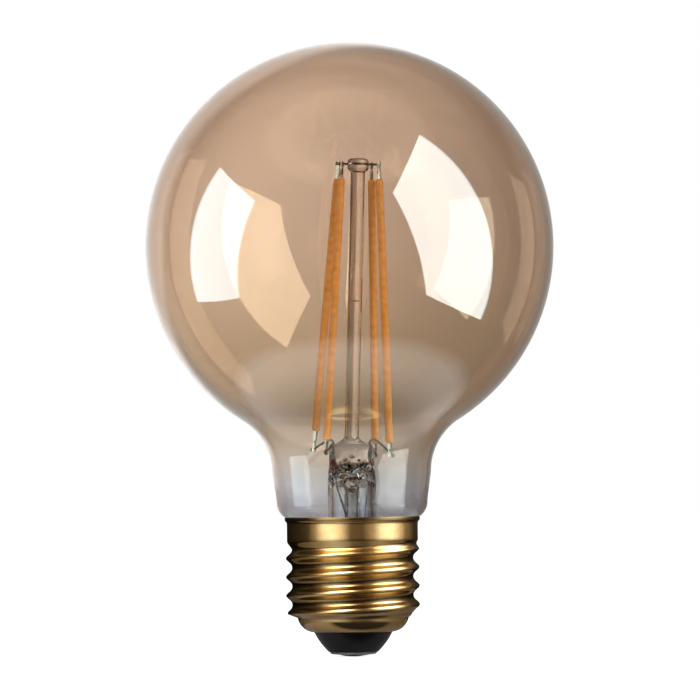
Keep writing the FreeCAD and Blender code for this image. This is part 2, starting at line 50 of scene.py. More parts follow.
def finished(name, mesh):
    """The piece of a mesh, smooth up to its sharp edges."""
    mesh.validate()
    mesh.shade_smooth()
    mesh.set_sharp_from_angle(angle=math.radians(40))
    piece = bpy.data.objects.new(name, mesh)
    bpy.context.scene.collection.objects.link(piece)
    return piece


def lathe(name, outline, around=192):
    """A closed surface turned about Z from (radius, height) points in millimetres."""
    verts, rows = [], []
    for radius, height in outline:
        if radius < 1e-6:
            rows.append([len(verts)] * around)
            verts.append((0, 0, height * MM))
        else:
            rows.append(list(range(len(verts), len(verts) + around)))
            verts += [(radius * MM * math.cos(2 * math.pi * i / around),
                       radius * MM * math.sin(2 * math.pi * i / around), height * MM)
                      for i in range(around)]
    ring_shaped = outline[0][0] > 1e-6
    faces = []
    for low, high in zip(rows, rows[1:] + rows[:1] if ring_shaped else rows[1:]):
        for i in range(around):
            j = (i + 1) % around
            corners = list(dict.fromkeys((low[i], low[j], high[j], high[i])))
            if len(corners) > 2:
                faces.append(corners)
    mesh = bpy.data.meshes.new(name)
    mesh.from_pydata(verts, [], faces)
    return finished(name, mesh)


def on_circle(centre, radius, degrees):
    turn = math.radians(degrees)
    return centre[0] + radius * math.cos(turn), centre[1] + radius * math.sin(turn)


def arc(centre, radius, start, end, steps):
    """Points of a circle from one angle to another, in degrees from +X."""
    return [on_circle(centre, radius, start + (end - start) * i / steps) for i in range(steps + 1)]


def add_node(tree, kind, inputs=None, **settings):
    made = tree.nodes.new(kind)
    for name, value in settings.items():
        setattr(made, name, value)
    for socket, value in (inputs or {}).items():
        if isinstance(value, bpy.types.NodeSocket):
            tree.links.new(value, made.inputs[socket])
        else:
            made.inputs[socket].default_value = value
    return made


def finish(name, **values):
    """A material with its Principled shader; plain values go on the shader's own sockets."""
    material = bpy.data.materials.new(name)
    material.use_nodes = True
    tree = material.node_tree
    shader = tree.nodes["Principled BSDF"]
    for socket, value in values.items():
        shader.inputs[socket.replace("_", " ")].default_value = value
    return material, tree, shader


def ramp(tree, factor, *stops):
    """Colours at places along a factor."""
    made = add_node(tree, "ShaderNodeValToRGB", {"Fac": factor})
    elements = made.color_ramp.elements
    while len(elements) < len(stops):
        elements.new(0.5)
    for element, (place, colour) in zip(elements, stops):
        element.position = place
        element.color = (*colour, 1)
    return made.outputs["Color"]


def on_piece(tree):
    return add_node(tree, "ShaderNodeTexCoord").outputs["Object"]


def axes(tree, place):
    return add_node(tree, "ShaderNodeSeparateXYZ", {"Vector": place}).outputs


def spread(tree, value, low, high, to_low=0.0, to_high=1.0):
    """A value stretched from one range to another and held inside it."""
    return add_node(tree, "ShaderNodeMapRange", {
        "Value": value, "From Min": low, "From Max": high,
        "To Min": to_low, "To Max": to_high}).outputs["Result"]


def object_height(tree, low, high):
    """Height on the lamp as a factor from one level to another, in millimetres."""
    return spread(tree, axes(tree, on_piece(tree))["Z"], low * MM, high * MM)


def either(tree, share, first, second):
    return add_node(tree, "ShaderNodeMixShader", {"Fac": share, 1: first, 2: second}).outputs[0]


def shadow_through(tree, shader, tint):
    """Lets light pass the glass for shadow rays, so what is inside stays lit."""
    clear = add_node(tree, "ShaderNodeBsdfTransparent", {"Color": tint})
    path = add_node(tree, "ShaderNodeLightPath")
    tree.links.new(either(tree, path.outputs["Is Shadow Ray"], shader.outputs[0], clear.outputs[0]),
                   tree.nodes["Material Output"].inputs["Surface"])


globe_low, globe_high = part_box("glass_globe")
clearance = 0.01
ball = (globe_high.x - globe_low.x) / 2 / MM - clearance
ball_mid = globe_high.z / MM - ball - clearance
wall = 0.7
neck, shoulder = 15.5, 12.0
shoulder_mid = ball_mid - math.sqrt((ball + shoulder) ** 2 - (neck + shoulder) ** 2)
slope = math.degrees(math.atan2(ball_mid - shoulder_mid, neck + shoulder))
curl_mid, curl = (11.15, 30.1), 3.6
globe_outside = (
    [(11.2, 19.0), (11.7, 22.5), (12.1, 26.3), (12.8, 27.0)]
    + arc(curl_mid, curl, -58, 3, 14) + [(14.95, 32.0), (15.2, 33.8)]
    + arc((neck + shoulder, shoulder_mid), shoulder, 180, 180 - slope, 26)
    + arc((0, ball_mid), ball, -slope, 90, 130)[1:-1] + [(0, ball_mid + ball)])
# Where the neck rolls in, the wall is drawn out thin.
globe_inside = (
    [(0, ball_mid + ball - wall)] + arc((0, ball_mid), ball - wall, 90, -slope, 130)[1:]
    + arc((neck + shoulder, shoulder_mid), shoulder + wall, 180 - slope, 180, 26)[1:]
    + [(15.2 - wall, 33.8), (15.07 - wall * 0.93, 32.9), (14.95 - wall * 0.8, 32.0)]
    + [on_circle(curl_mid, curl - 0.46 + 0.024 * i, 3 - 61 * i / 14) for i in range(15)]
    + [(12.1 - wall, 26.1), (11.7 - wall, 22.5), (11.2 - wall, 19.0)])
globe = lathe("blown_globe", globe_outside + globe_inside)

amber, tree, shader = finish("amber_film_glass", Roughness=0.0, IOR=1.5, Transmission_Weight=1.0,
                             Coat_IOR=1.76, Coat_Roughness=0.0, Specular_IOR_Level=0.24,
                             Specular_Tint=(1.0, 0.82, 0.72, 1))
rise = object_height(tree, 28, 84)
# Below the amber, the clear glass of the neck is tinted grey, darkest just above the cap: painted shade.
tint = ramp(tree, rise, (0.0, (0.60, 0.58, 0.595)), (0.045, (0.65, 0.63, 0.64)),
            (0.075, (0.74, 0.72, 0.725)), (0.11, (0.79, 0.77, 0.76)), (0.17, (0.845, 0.785, 0.72)),
            (0.28, (0.885, 0.765, 0.64)), (0.4, (0.905, 0.755, 0.60)), (0.58, (0.94, 0.765, 0.595)),
            (0.8, (0.98, 0.795, 0.64)), (1.0, (0.985, 0.80, 0.655)))
tree.links.new(tint, shader.inputs["Base Color"])
film = ramp(tree, rise, (0.21, (0, 0, 0)), (0.33, (1, 1, 1)))
tree.links.new(film, shader.inputs["Coat Weight"])
shadow_through(tree, shader, tint)
globe.data.materials.append(amber)
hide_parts("glass_globe")
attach(globe, "root")

# Glass stem.
# Flare, flat press, post and button in clear lead glass, worked hot into one piece. The
# flare is sealed to the neck's end; the exhaust tube hangs inside it, tipped off short.


def loft(name, levels, around=96):
    """A closed skin through (half x, half y, height, power) levels: a circle where power is
    2, squarer above that."""
    verts = [(0, 0, levels[0][2] * MM)]
    for half_x, half_y, height, power in levels:
        for i in range(around):
            turn = 2 * math.pi * i / around
            c, s = math.cos(turn), math.sin(turn)
            verts.append((half_x * MM * math.copysign(abs(c) ** (2 / power), c),
                          half_y * MM * math.copysign(abs(s) ** (2 / power), s), height * MM))
    verts.append((0, 0, levels[-1][2] * MM))
    faces, last = [], len(verts) - 1
    top = 1 + (len(levels) - 1) * around
    for i in range(around):
        j = (i + 1) % around
        faces.append((0, 1 + j, 1 + i))
        for k in range(len(levels) - 1):
            a, b = 1 + k * around, 1 + (k + 1) * around
            faces.append((a + i, a + j, b + j, b + i))
        faces.append((last, top + i, top + j))
    mesh = bpy.data.meshes.new(name)
    mesh.from_pydata(verts, [], faces)
    return finished(name, mesh)


def drop(name, centre, size, steps, around):
    """A small round body with the half sizes given."""
    rings = [(math.sin(math.pi * k / steps), math.cos(math.pi * k / steps)) for k in range(1, steps)]
    body = loft(name, [(size[0] * r, size[1] * r, -size[2] * h, 2) for r, h in rings], around)
    body.data.transform(Matrix.Translation(Vector(centre) * MM))
    return body


def flipped(piece):
    """A hollow: its skin faces inwards."""
    piece.data.flip_normals()
    return piece


def join(name, *pieces):
    """One mesh from several closed skins."""
    verts, faces = [], []
    for piece in pieces:
        start = len(verts)
        verts += [v.co[:] for v in piece.data.vertices]
        faces += [[start + i for i in p.vertices] for p in piece.data.polygons]
        bpy.data.objects.remove(piece)
    mesh = bpy.data.meshes.new(name)
    mesh.from_pydata(verts, [], faces)
    return finished(name, mesh)


post, exhaust, tube, tube_bore, tube_top = 1.4, 1.5, 4.75, 3.75, 33.4
press_x, press_y, press_top = 4.4, 1.9, 41.6
seal, flare, flare_glass, flare_edge = 19.0, 5.6, 1.0, 11.2
flare_mid = (tube + flare, seal + flare)
cross_z, button_low = 96.45, 95.1
lean = math.atan2(1.86, cross_z - press_top)

round_part = (
    [(0.55, 15.85), (1.05, 16.1), (1.4, 16.7), (exhaust, 17.4), (exhaust, 25), (exhaust, tube_top),
     (1.9, 34.2), (2.6, 34.5), (3.4, 34.2), (tube_bore, 33.3), (tube_bore, 28), (tube_bore, seal + flare)]
    + arc(flare_mid, flare + flare_glass, 180, 270, 14)[1:]
    + [(flare_edge, seal - flare_glass), (flare_edge, seal), (tube + flare, seal)]
    + arc(flare_mid, flare, 270, 180, 14)[1:] + [(tube, 28), (tube, tube_top)])
skin = [(r, r, z, 2) for r, z in round_part]
for i in range(21):
    share = i / 20
    t = share * share * (3 - 2 * share)
    skin.append((tube + (press_x - tube) * t, tube + (press_y - tube) * t,
                 34.0 + (37.9 - 34.0) * share, 2 + 2.4 * t))
skin += [(press_x, press_y, z, 4.4) for z in (38.2, 38.5, 38.9, 39.4, 40.0, 40.5)]
skin += [(press_x - 0.1, press_y - 0.08, 40.9, 4.0), (press_x - 0.45, press_y - 0.25, 41.35, 3.6),
         (press_x - 1.1, press_y - 0.35, 41.65, 3.2)]
for t in (0.12, 0.3, 0.5, 0.7, 0.88, 1.0):
    r = (1 - t) ** 2
    skin.append((post + (press_x - 1.1 - post) * r, post + 0.35 * r, 41.65 + 1.7 * t, 2 + 1.2 * r))
post_part = [(post, 50), (post, 60), (post, 68), (post * 1.04, 69.0), (post * 0.97, 69.8), (post, 71),
             (post, 80), (post, 90), (post, button_low - 0.5)]
button = ([(1.5, -0.1), (1.8, 0.02)] + arc((1.45, 0.65), 0.66, -70, 0, 6)
          + arc((1.45, 1.7), 0.66, 0, 85, 6) + [(0.8, 2.38)])
skin += [(r, r, z, 2) for r, z in post_part]
skin += [(r, r, button_low + z, 2) for r, z in button]
stem_skin = loft("stem_skin", skin)

# The tube's bore runs up into the press and ends in an arch; small bubbles and folds
# stay in the glass round it where the leads were pinched.
bore = flipped(loft("stem_bore", [
    (0.3, 0.3, 17.3, 2), (0.75, 0.75, 17.7, 2), (0.9, 0.9, 18.4, 2), (0.9, 0.9, 33, 2),
    (1.0, 0.8, 34.2, 2), (1.3, 0.6, 35.2, 2), (1.7, 0.45, 36.0, 2), (1.6, 0.35, 36.7, 2),
    (1.0, 0.3, 37.2, 2), (0.35, 0.15, 37.5, 2)], 48))
bubbles = [flipped(drop("bubble_%d" % i, centre, size, 8, 16)) for i, (centre, size) in enumerate((
    ((2.3, 0.2, 37.6), (0.42, 0.4, 0.34)), ((1.4, -0.5, 38.3), (0.36, 0.3, 0.3)),
    ((-2.0, 0.4, 37.6), (0.5, 0.4, 0.3)), ((-1.2, -0.4, 38.4), (0.4, 0.3, 0.36)),
    ((0.1, 0.7, 39.0), (0.55, 0.3, 0.3)), ((-0.5, -0.8, 37.6), (0.34, 0.3, 0.4)),
    ((0.6, -0.8, 36.8), (0.6, 0.3, 0.22)), ((-2.6, -0.5, 36.4), (0.3, 0.3, 0.3)),
    ((2.9, 0.5, 36.3), (0.3, 0.3, 0.24)), ((0.9, 0.3, 35.4), (0.3, 0.3, 0.5)),
    ((0.1, 0.2, 69.4), (0.5, 0.35, 0.12)), ((-0.5, 0.1, 74.6), (0.09, 0.09, 0.9))))]
stem = join("glass_stem_worked", stem_skin, bore, *bubbles)


def leaned(x, y, z):
    """A point of the upright stem in millimetres, moved with the lean of its post."""
    up = z - press_top
    turn = lean * max(0.0, min(1.0, (up + 0.4) / 1.2))
    return Vector((x * math.cos(turn) + up * math.sin(turn), y,
                   press_top + up * math.cos(turn) - x * math.sin(turn)))


# The pinch of the pliers leaves the glass puckered just above the tube.
pinch_level, pinch_reach, pinch_depth = 36.4, 1.7, 0.75
noise.seed_set(5)
for vertex in stem.data.vertices:
    spot = vertex.co / MM
    pinch = math.exp(-((spot.z - pinch_level) / pinch_reach) ** 2)
    pucker = noise.noise_vector(spot * 0.8) + noise.noise_vector(spot * 2.1) * 0.4
    push = Vector((pucker.x * 0.3, pucker.y - 0.3 * math.copysign(1, spot.y), pucker.z))
    vertex.co = leaned(*(spot + push * pinch_depth * pinch)) * MM

clear, tree, shader = finish("clear_lead_glass", Roughness=0.0, IOR=1.52, Transmission_Weight=1.0)
# The glass is tinted brownish through the pinch, from about 35 to 38 mm up: painted shade.
pale = ramp(tree, object_height(tree, 30, 46), (0.22, (0.95, 0.96, 0.965)), (0.34, (0.90, 0.85, 0.78)),
            (0.5, (0.90, 0.85, 0.78)), (0.62, (0.98, 0.98, 0.975)))
tree.links.new(pale, shader.inputs["Base Color"])
shadow_through(tree, shader, pale)
stem.data.materials.append(clear)
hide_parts("glass_stem")
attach(stem, "root")

# Filaments and their tabs.
# Each is a strip of small light chips in an orange phosphor coat, with a bare metal tab
# at both ends; the upper ends meet at the cross wire, the lower ones stand on a square.


def calc(tree, operation, *values):
    return add_node(tree, "ShaderNodeMath", dict(enumerate(values)), operation=operation).outputs[0]


def new_tree(name, *labels):
    """A geometry tree with a number for each label, and its material."""
    tree = bpy.data.node_groups.new(name, "GeometryNodeTree")
    for label, kind in (("Geometry", "Geometry"), *[(label, "Float") for label in labels],
                        ("Material", "Material")):
        tree.interface.new_socket(label, in_out="INPUT", socket_type="NodeSocket" + kind)
    tree.interface.new_socket("Geometry", in_out="OUTPUT", socket_type="NodeSocketGeometry")
    return tree, tree.nodes.new("NodeGroupInput").outputs


def close_tree(tree, geometry, material):
    real = add_node(tree, "GeometryNodeRealizeInstances", {"Geometry": geometry})
    coloured = add_node(tree, "GeometryNodeSetMaterial", {"Geometry": real.outputs[0], "Material": material})
    tree.links.new(coloured.outputs[0], tree.nodes.new("NodeGroupOutput").inputs[0])


def made_by(piece, tree, **values):
    """Runs a geometry tree on a piece and keeps the result as its plain mesh."""
    modifier = piece.modifiers.new(tree.name, "NODES")
    modifier.node_group = tree
    sockets = {s.name.replace(" ", "_"): s.identifier for s in tree.interface.items_tree
               if s.item_type == "SOCKET" and s.in_out == "INPUT"}
    for name, value in values.items():
        modifier[sockets[name]] = value
    worked_out = piece.evaluated_get(bpy.context.evaluated_depsgraph_get())
    shape = bpy.data.meshes.new_from_object(worked_out)
    piece.modifiers.clear()
    piece.data = shape
    shape.name = piece.name
    shape.shade_smooth()
    shape.set_sharp_from_angle(angle=math.radians(50))
    return piece


def polyline(name, points):
    mesh = bpy.data.meshes.new(name)
    mesh.from_pydata([Vector(p) * MM for p in points], [(i, i + 1) for i in range(len(points) - 1)], [])
    piece = bpy.data.objects.new(name, mesh)
    bpy.context.scene.collection.objects.link(piece)
    return piece


# A coat is swept along the bar; the chips under it show as faint swellings in a row, and
# both ends are rounded off.
coat_tree, given = new_tree("phosphor_coat", "Coat Radius", "Chips", "Swell")
line = add_node(coat_tree, "GeometryNodeMeshToCurve", {"Mesh": given["Geometry"]})
line = add_node(coat_tree, "GeometryNodeResampleCurve", {"Curve": line.outputs[0], "Count": 240})
along = add_node(coat_tree, "GeometryNodeSplineParameter").outputs["Factor"]
chip = calc(coat_tree, "MULTIPLY", along, given["Chips"])
wave = calc(coat_tree, "SINE", calc(coat_tree, "MULTIPLY", chip, 2 * math.pi))
swell = calc(coat_tree, "MULTIPLY_ADD", wave, given["Swell"], 1.0)
from_top = calc(coat_tree, "MULTIPLY", along, 90.0)
from_foot = calc(coat_tree, "MULTIPLY", calc(coat_tree, "SUBTRACT", 1.0, along), 90.0)
near = calc(coat_tree, "MINIMUM", calc(coat_tree, "MINIMUM", from_top, from_foot), 1.0)
drawn_in = calc(coat_tree, "POWER", calc(coat_tree, "SUBTRACT", 1.0, near), 2.0)
bulge = calc(coat_tree, "SQRT", calc(coat_tree, "SUBTRACT", 1.0, drawn_in))
bulge = calc(coat_tree, "MULTIPLY_ADD", bulge, 0.55, 0.45)
size = calc(coat_tree, "MULTIPLY", calc(coat_tree, "MULTIPLY", swell, bulge), given["Coat Radius"])
ring = add_node(coat_tree, "GeometryNodeCurvePrimitiveCircle", {"Resolution": 20, "Radius": 1.0})
body = add_node(coat_tree, "GeometryNodeCurveToMesh", {
    "Curve": line.outputs[0], "Profile Curve": ring.outputs[0], "Scale": size, "Fill Caps": True})
close_tree(coat_tree, body.outputs[0], given["Material"])


def relief(tree, shader, height, strength, distance):
    bump = add_node(tree, "ShaderNodeBump", {"Height": height, "Strength": strength, "Distance": distance})
    tree.links.new(bump.outputs[0], shader.inputs["Normal"])


phosphor, tree, shader = finish("orange_phosphor", Roughness=0.45, Specular_IOR_Level=0.4,
                                Subsurface_Weight=0.25, Subsurface_Scale=0.0006,
                                Subsurface_Radius=(1.0, 0.5, 0.2))
place = on_piece(tree)
grain = add_node(tree, "ShaderNodeTexNoise", {
    "Vector": place, "Scale": 900.0, "Detail": 3.0}).outputs["Fac"]
chip_length = 1.85 * MM
chip_row = calc(tree, "SINE", calc(tree, "MULTIPLY", axes(tree, place)["Z"], 2 * math.pi / chip_length))
colour = ramp(tree, calc(tree, "MULTIPLY_ADD", chip_row, 0.07, grain), (0.25, (0.65, 0.36, 0.10)),
              (0.5, (0.72, 0.43, 0.15)), (0.8, (0.78, 0.50, 0.21)))
tree.links.new(colour, shader.inputs["Base Color"])
relief(tree, shader, grain, 0.15, 0.0001)


def blended(tree, share, first, second, way="MIX"):
    """One colour over another by a share."""
    return add_node(tree, "ShaderNodeMix", {0: share, 6: first, 7: second},
                    data_type="RGBA", blend_type=way).outputs[2]


# Bare metal of tabs, wires and shell: drawn, with duller clouds and fine specks.
wear = bpy.data.node_groups.new("drawn_metal", "ShaderNodeTree")
for label, kind, way in (
        ("Bright", "Color", "INPUT"), ("Dull", "Color", "INPUT"), ("Scale", "Float", "INPUT"),
        ("Smoothest", "Float", "INPUT"), ("Roughest", "Float", "INPUT"),
        ("Color", "Color", "OUTPUT"), ("Roughness", "Float", "OUTPUT"), ("Height", "Float", "OUTPUT")):
    wear.interface.new_socket(label, in_out=way, socket_type="NodeSocket" + kind)
given = wear.nodes.new("NodeGroupInput").outputs
place = on_piece(wear)
cloud = add_node(wear, "ShaderNodeTexNoise", {
    "Vector": place, "Scale": given["Scale"], "Detail": 5.0, "Roughness": 0.6}).outputs["Fac"]
fine = calc(wear, "MULTIPLY", given["Scale"], 7.0)
speck = add_node(wear, "ShaderNodeTexNoise", {"Vector": place, "Scale": fine, "Detail": 3.0}).outputs["Fac"]
patch = spread(wear, cloud, 0.38, 0.68)
dull = calc(wear, "MULTIPLY_ADD", speck, 0.35, calc(wear, "MULTIPLY", patch, 0.65))
out = wear.nodes.new("NodeGroupOutput")
wear.links.new(blended(wear, patch, given["Bright"], given["Dull"]), out.inputs["Color"])
wear.links.new(spread(wear, dull, 0.0, 1.0, given["Smoothest"], given["Roughest"]), out.inputs["Roughness"])
wear.links.new(speck, out.inputs["Height"])


def metal(name, bright, dull, scale, smoothest, roughest, bump=0.00002):
    """Metal whose colour and gloss wander as the group says; returns its colour as well."""
    material, tree, shader = finish(name, Metallic=1.0)
    group = tree.nodes.new("ShaderNodeGroup")
    group.node_tree = wear
    for socket, value in (("Bright", (*bright, 1)), ("Dull", (*dull, 1)), ("Scale", scale),
                          ("Smoothest", smoothest), ("Roughest", roughest)):
        group.inputs[socket].default_value = value
    tree.links.new(group.outputs["Color"], shader.inputs["Base Color"])
    tree.links.new(group.outputs["Roughness"], shader.inputs["Roughness"])
    relief(tree, shader, group.outputs["Height"], 0.3, bump)
    return material, tree, shader, group.outputs["Color"]


plated = metal("plated_strip", (0.76, 0.71, 0.65), (0.54, 0.50, 0.46), 900.0, 0.12, 0.38)[0]


def strip(name, start, way, flat, width, thickness, length):
    """A stamped strip with a waist and softened ends that runs from start along way."""
    shares = ((0.9, 0.7, 0.0), (1, 1, 0.05), (1, 1, length * 0.45), (0.72, 1, length * 0.55),
              (0.72, 1, length * 0.68), (1, 1, length * 0.78), (1, 1, length - 0.05), (0.9, 0.7, length))
    piece = loft(name, [(width / 2 * w, thickness / 2 * t, place, 6) for w, t, place in shares], 32)
    out = flat.cross(way).normalized()
    turn = Matrix((out, flat, way)).transposed()
    if turn.determinant() < 0:
        turn = Matrix((-out, flat, way)).transposed()
    piece.data.transform(Matrix.Translation(start * MM) @ turn.to_4x4())
    piece.data.materials.append(plated)
    return piece


wire, coat_r, coat_l, cross_l = 0.45, 0.75, 52.0, 8.9
tab_w, tab_t, tab_hold = 0.9, 0.3, 0.3
top_tab_l, low_tab_l = 3.4, 2.9
foot_r, turn_of_square, foot_z = 8.7, 57.1, 42.6
weld_at = {}
for side, quarter, reach, trim, longer, lead_side in (
        ("inner_right", 0, 0.59, 0, 0, 1), ("outer_left", 1, -0.86, 2.6, 1.6, -1),
        ("inner_left", 2, -0.70, 0, 0, 1), ("outer_right", 3, 0.91, 0, 0, 1)):
    turn = math.radians(turn_of_square + 90 * quarter)
    outward = Vector((math.cos(turn), math.sin(turn), 0))
    beside = (wire + tab_t) / 2 + tab_t / 3
    upper = leaned(reach * cross_l / 2, math.copysign(beside, outward.y), cross_z)
    down = (outward * foot_r + Vector((0, 0, foot_z)) - upper).normalized()
    coat_top = upper + down * (top_tab_l - wire)
    coat_end = coat_top + down * (coat_l - trim)
    coat = made_by(polyline("coat_" + side, [coat_top, coat_end]), coat_tree, Coat_Radius=coat_r * MM,
                   Chips=28.0, Swell=0.012, Material=phosphor)
    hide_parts("filament_" + side)
    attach(coat, "root")
    face = Vector((-math.sin(turn), math.cos(turn), 0))
    face = (face - down * face.dot(down)).normalized()
    top = strip("top_strip_" + side, coat_top + down * tab_hold, -down, face, tab_w, tab_t,
                top_tab_l + tab_hold)
    low = strip("lower_strip_" + side, coat_end - down * tab_hold, down, face, tab_w, tab_t,
                low_tab_l + longer + tab_hold)
    for piece, node in ((top, "top_tab_"), (low, "lower_tab_")):
        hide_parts(node + side)
        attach(piece, "root")
    weld_at[side] = (coat_end + down * (low_tab_l + longer - wire) + outward * wire
                     + face * lead_side * ((tab_t + wire) / 2 - 0.06))

# Wires.
# Nickel-plated iron above and below the press; inside it the leads are copper-clad, so
# that glass grips them. Each end is fused to its tab in a small bead.
wire_tree, given = new_tree("drawn_wire", "Wire Radius", "Bend Radius")
line = add_node(wire_tree, "GeometryNodeMeshToCurve", {"Mesh": given["Geometry"]})
line = add_node(wire_tree, "GeometryNodeFilletCurve", {
    "Curve": line.outputs[0], "Count": 8, "Limit Radius": True, "Radius": given["Bend Radius"]}, mode="POLY")
ring = add_node(wire_tree, "GeometryNodeCurvePrimitiveCircle", {
    "Resolution": 16, "Radius": given["Wire Radius"]})
body = add_node(wire_tree, "GeometryNodeCurveToMesh", {
    "Curve": line.outputs[0], "Profile Curve": ring.outputs[0], "Fill Caps": True})
close_tree(wire_tree, body.outputs[0], given["Material"])

nickel = metal("nickel_wire", (0.60, 0.53, 0.46), (0.40, 0.34, 0.29), 700.0, 0.18, 0.45)[0]
lead_metal, tree, shader, colour = metal("clad_lead_wire", (0.40, 0.38, 0.37), (0.22, 0.20, 0.20),
                                         700.0, 0.2, 0.5)
copper = ramp(tree, object_height(tree, 33, 43), (0.15, (0, 0, 0)), (0.25, (1, 1, 1)), (0.5, (1, 1, 1)),
              (0.62, (0, 0, 0)))
tree.links.new(blended(tree, copper, colour, (0.36, 0.13, 0.11, 1)), shader.inputs["Base Color"])


def bent_wire(name, node, points, material, beads):
    """A wire bent at each point, with fused beads of (place, half sizes) along it."""
    run = made_by(polyline(name + "_run", points), wire_tree, Wire_Radius=wire / 2 * MM,
                  Bend_Radius=0.8 * MM, Material=material)
    drops = [drop("%s_bead_%d" % (name, i), place, size, 10, 20) for i, (place, size) in enumerate(beads)]
    piece = join(name, run, *drops)
    piece.data.materials.append(material)
    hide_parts(node)
    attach(piece, "root")


half = cross_l / 2
bent_wire("cross_wire", "top_support_wire", [leaned(x, 0, cross_z + lift) for x, lift in (
    (-half, 0.0), (-half + 0.9, -0.04), (0, 0.02), (half - 0.9, -0.03), (half, 0.0))], nickel,
    [(leaned(-half + 0.3, 0, cross_z), (0.38, 0.34, 0.36)),
     (leaned(half - 0.3, 0, cross_z - 0.05), (0.3, 0.3, 0.3))])
board_top, tube_run, lead_x, press_hold, above_press, outwards = 13.4, 27, 3.5, 35.6, 0.9, 1.2
blob = (0.5, 0.45, 0.45)
for side, way, (foot_x, foot_y), (clad_z, clad_half) in (
        ("left", -1, (-0.8, -2.2), (37.8, 1.9)), ("right", 1, (2.4, 0), (38.6, 2.4))):
    x, weld = way * lead_x, weld_at["outer_" + side]
    bent_wire(side + "_lead", side + "_lead_wire", [
        (foot_x, foot_y, board_top), (foot_x, foot_y, tube_run), (x, 0, press_hold),
        (x, 0, press_top + above_press), (x + way * outwards, -way * above_press, press_top + above_press),
        weld], lead_metal, [(weld, blob), ((x, 0, clad_z), (0.5, 0.42, clad_half))])
branch_y = wire * 1.6
for side, way in (("left", -1), ("right", 1)):
    x, weld = way * lead_x, weld_at["inner_" + side]
    bent_wire(side + "_branch", side + "_branch_wire", [
        (x, way * 0.1, press_top - 3.6), (x, way * branch_y, press_top - 3),
        (x, way * branch_y, press_top + above_press / 2), weld], lead_metal, [(weld, blob)])

# Screw shell.
# A cup drawn from thin brass, then rolled: the thread is pressed from both sides, so the
# wall keeps its thickness. The upper edge is turned out into a rim round the glass.
roll_tree, given = new_tree("rolled_thread", "Pitch", "Depth", "Start Angle", "Lower Level", "Upper Level",
                            "Lower Fade", "Upper Fade")
x, y, z = axes(roll_tree, add_node(roll_tree, "GeometryNodeInputPosition").outputs[0])
above = calc(roll_tree, "SUBTRACT", z, given["Lower Level"])
below = calc(roll_tree, "SUBTRACT", given["Upper Level"], z)
fade = calc(roll_tree, "MINIMUM", calc(roll_tree, "DIVIDE", above, given["Lower Fade"]),
            calc(roll_tree, "DIVIDE", below, given["Upper Fade"]))
fade = add_node(roll_tree, "ShaderNodeClamp", {"Value": fade}).outputs[0]
climb = calc(roll_tree, "MULTIPLY", calc(roll_tree, "DIVIDE", above, given["Pitch"]), 2 * math.pi)
turn = calc(roll_tree, "SUBTRACT", calc(roll_tree, "ARCTAN2", y, x), climb)
turn = calc(roll_tree, "SUBTRACT", turn, given["Start Angle"])
# The rolls leave the crests a little narrower than the roots.
wave = calc(roll_tree, "COSINE", turn)
wave = calc(roll_tree, "MULTIPLY_ADD", calc(roll_tree, "MULTIPLY", wave, wave), 0.3, wave)
wave = calc(roll_tree, "SUBTRACT", wave, 0.3)
shift = calc(roll_tree, "MULTIPLY", calc(roll_tree, "MULTIPLY", wave, fade), given["Depth"])
outward = add_node(roll_tree, "ShaderNodeCombineXYZ", {"X": x, "Y": y})
outward = add_node(roll_tree, "ShaderNodeVectorMath", {0: outward.outputs[0]}, operation="NORMALIZE")
push = add_node(roll_tree, "ShaderNodeVectorMath", {0: outward.outputs[0], "Scale": shift},
                operation="SCALE")
rolled = add_node(roll_tree, "GeometryNodeSetPosition", {
    "Geometry": given["Geometry"], "Offset": push.outputs[0]})
depth = calc(roll_tree, "MULTIPLY", calc(roll_tree, "SUBTRACT", 1.0, wave),
             calc(roll_tree, "MULTIPLY", fade, 0.5))
noted = add_node(roll_tree, "GeometryNodeStoreNamedAttribute", {
    "Geometry": rolled.outputs[0], "Name": "groove", "Value": depth}, data_type="FLOAT", domain="POINT")
close_tree(roll_tree, noted.outputs[0], given["Material"])

# Dirt and painted shade darken the bottom of the groove; painted shade darkens the rim towards its top edge.
brass, tree, shader, colour = metal("aged_brass", (0.71, 0.48, 0.21), (0.54, 0.34, 0.14), 160.0, 0.12, 0.21)
groove = add_node(tree, "ShaderNodeAttribute", attribute_name="groove").outputs["Fac"]
dirt_and_painted_shade = blended(tree, spread(tree, groove, 0.86, 1.02, 0.0, 0.9), colour, (0.06, 0.025, 0.01, 1))
# Painted shade: the rim and its lip turn dark brass towards the top.
dirt_and_painted_shade = blended(tree, object_height(tree, 26.2, 26.9), dirt_and_painted_shade, (0.26, 0.15, 0.06, 1))
tree.links.new(dirt_and_painted_shade, shader.inputs["Base Color"])

sheet, mouth, mouth_z = 0.25, 7.9, 4.8
bowl_bend, bowl_r, bowl_z = 3.4, 10.85, 7.6
thread_top, pitch, mid_r, thread_depth, start = 22.6, 3.629, 12.45, 0.6, 114.3
thread_foot_r, thread_foot = 10.95, 1.4
skirt, rim, cap_top = 12.8, 13.2, 27.0
chord = Vector((bowl_r - mouth, bowl_z - mouth_z))
bowl_mid = (Vector((mouth, mouth_z)) + chord / 2
            + Vector((-chord.y, chord.x)).normalized() * math.sqrt(bowl_bend ** 2 - chord.length_squared / 4))
bowl_from, bowl_to = [math.degrees(math.atan2(z - bowl_mid.y, r - bowl_mid.x))
                      for r, z in ((mouth, mouth_z), (bowl_r, bowl_z))]


